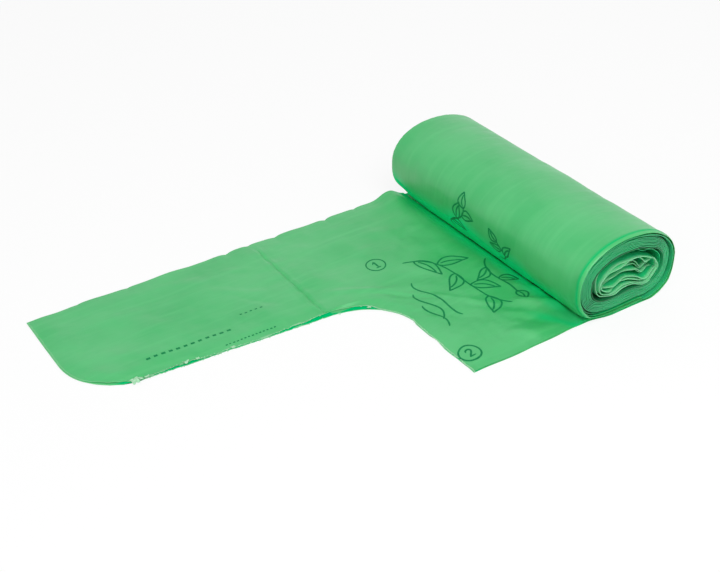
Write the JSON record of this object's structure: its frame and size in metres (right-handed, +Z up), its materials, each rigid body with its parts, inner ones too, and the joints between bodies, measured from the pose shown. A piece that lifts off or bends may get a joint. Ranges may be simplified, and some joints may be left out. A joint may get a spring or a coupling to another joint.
{
  "type": "bin bag roll",
  "caption": "Squashed coreless roll of thin green film bin bags, with the handle of its first bag pulled out flat in front of it.",
  "frame": {"origin": "on the surface that the roll lies on, under the middle of the roll", "axes": "+X along the roll, away from the web's fold; +Y away from the loose end; +Z up"},
  "size_m": [0.1488, 0.2679, 0.042],
  "materials": {
    "film": "satin, slightly translucent thin film"
  },
  "bodies": {
    "root": {"bag_roll": "film"}
  },
  "joints": []
}
